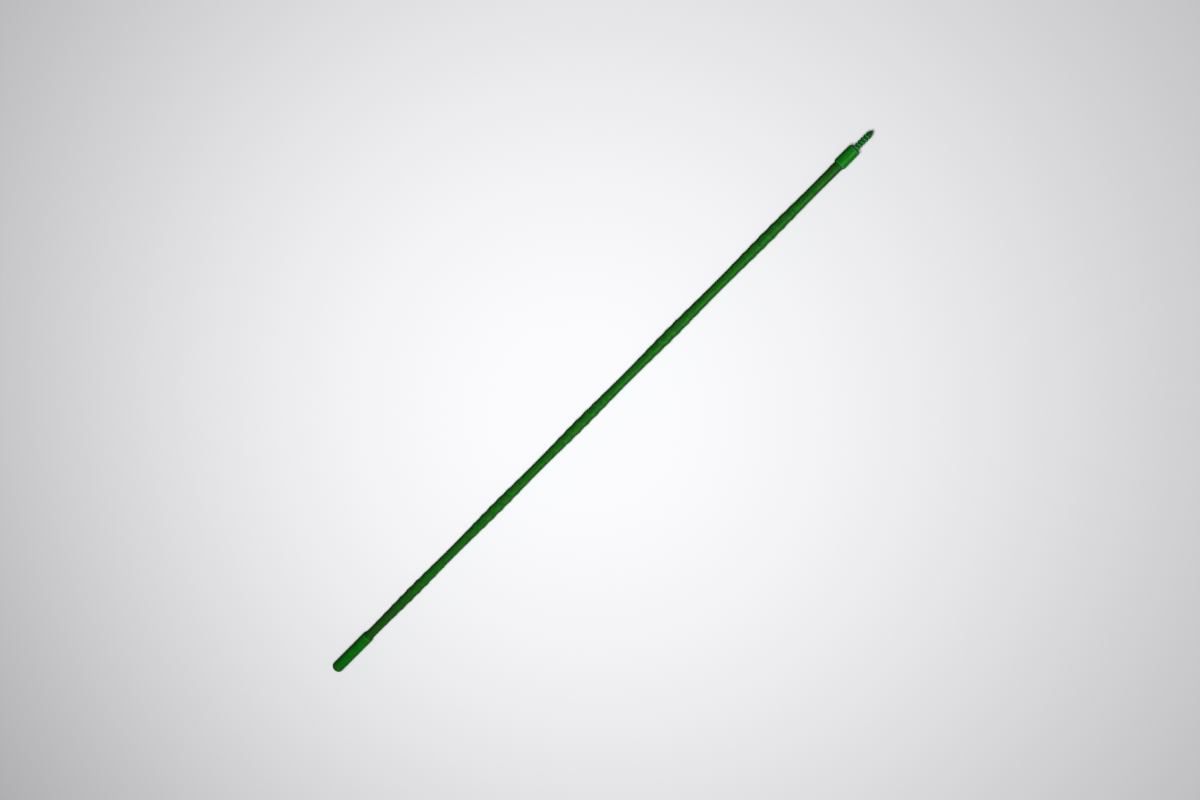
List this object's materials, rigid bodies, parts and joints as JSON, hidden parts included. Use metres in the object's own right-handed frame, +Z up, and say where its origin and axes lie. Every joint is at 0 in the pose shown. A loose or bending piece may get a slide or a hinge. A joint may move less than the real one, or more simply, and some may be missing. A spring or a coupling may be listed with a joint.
{
  "type": "roller extension pole",
  "caption": "Two-section telescoping pole with a twist-lock collar, a long domed end cap, a jacket with swollen grip zones and a coarse threaded tip for a roller frame.",
  "frame": {"origin": "under the middle of the collapsed pole, on the surface that it lies on", "axes": "+X along the pole towards the threaded tip, +Z up, +Y completes a right-handed frame"},
  "size_m": [1.8, 0.029, 0.0291],
  "materials": {
    "jacket": "textured",
    "cap": "satin",
    "nut": "satin",
    "tip": "satin",
    "tube_steel": "galvanised",
    "inner_steel": "zinc plated, satin",
    "nylon": "natural nylon",
    "black_plastic": "moulded",
    "rubber": "moulded",
    "rivet": "flush heads"
  },
  "bodies": {
    "outer_pole": {"outer_tube": "tube_steel", "outer_sleeve": "jacket", "end_cap": "cap", "end_plug": "black_plastic", "bumper_pad": "rubber", "lock_collet": "nylon", "collet_rivets": "rivet"},
    "clamp": {"clamp_ring": "black_plastic"},
    "nut": {"lock_nut": "nut"},
    "slide_rings": {"slide_ring_low": "nylon", "slide_ring_high": "nylon"},
    "inner_pole": {"inner_tube": "inner_steel", "threaded_tip": "tip", "guide_plug": "black_plastic", "plug_rivets": "rivet", "tip_rivets": "rivet"}
  },
  "joints": [
    {"name": "lock_travel", "type": "slide", "parent": "outer_pole", "child": "clamp", "axis": [-1, 0, 0], "range_m": [0, 0.00111]},
    {"name": "lock_twist", "type": "hinge", "parent": "clamp", "child": "nut", "pos_m": [0.8245, 0, 0.01455], "axis": [-1, 0, 0], "range_deg": [0, 100]},
    {"name": "extension", "type": "slide", "parent": "outer_pole", "child": "slide_rings", "axis": [1, 0, 0], "range_m": [0, 1.535]},
    {"name": "inner_turn", "type": "hinge", "parent": "slide_rings", "child": "inner_pole", "pos_m": [0, 0, 0.01455], "axis": [1, 0, 0], "continuous": true}
  ],
  "couplings": [
    {"joint": "lock_travel", "follows": "lock_twist", "m_per_rad": 0.00063662}
  ]
}
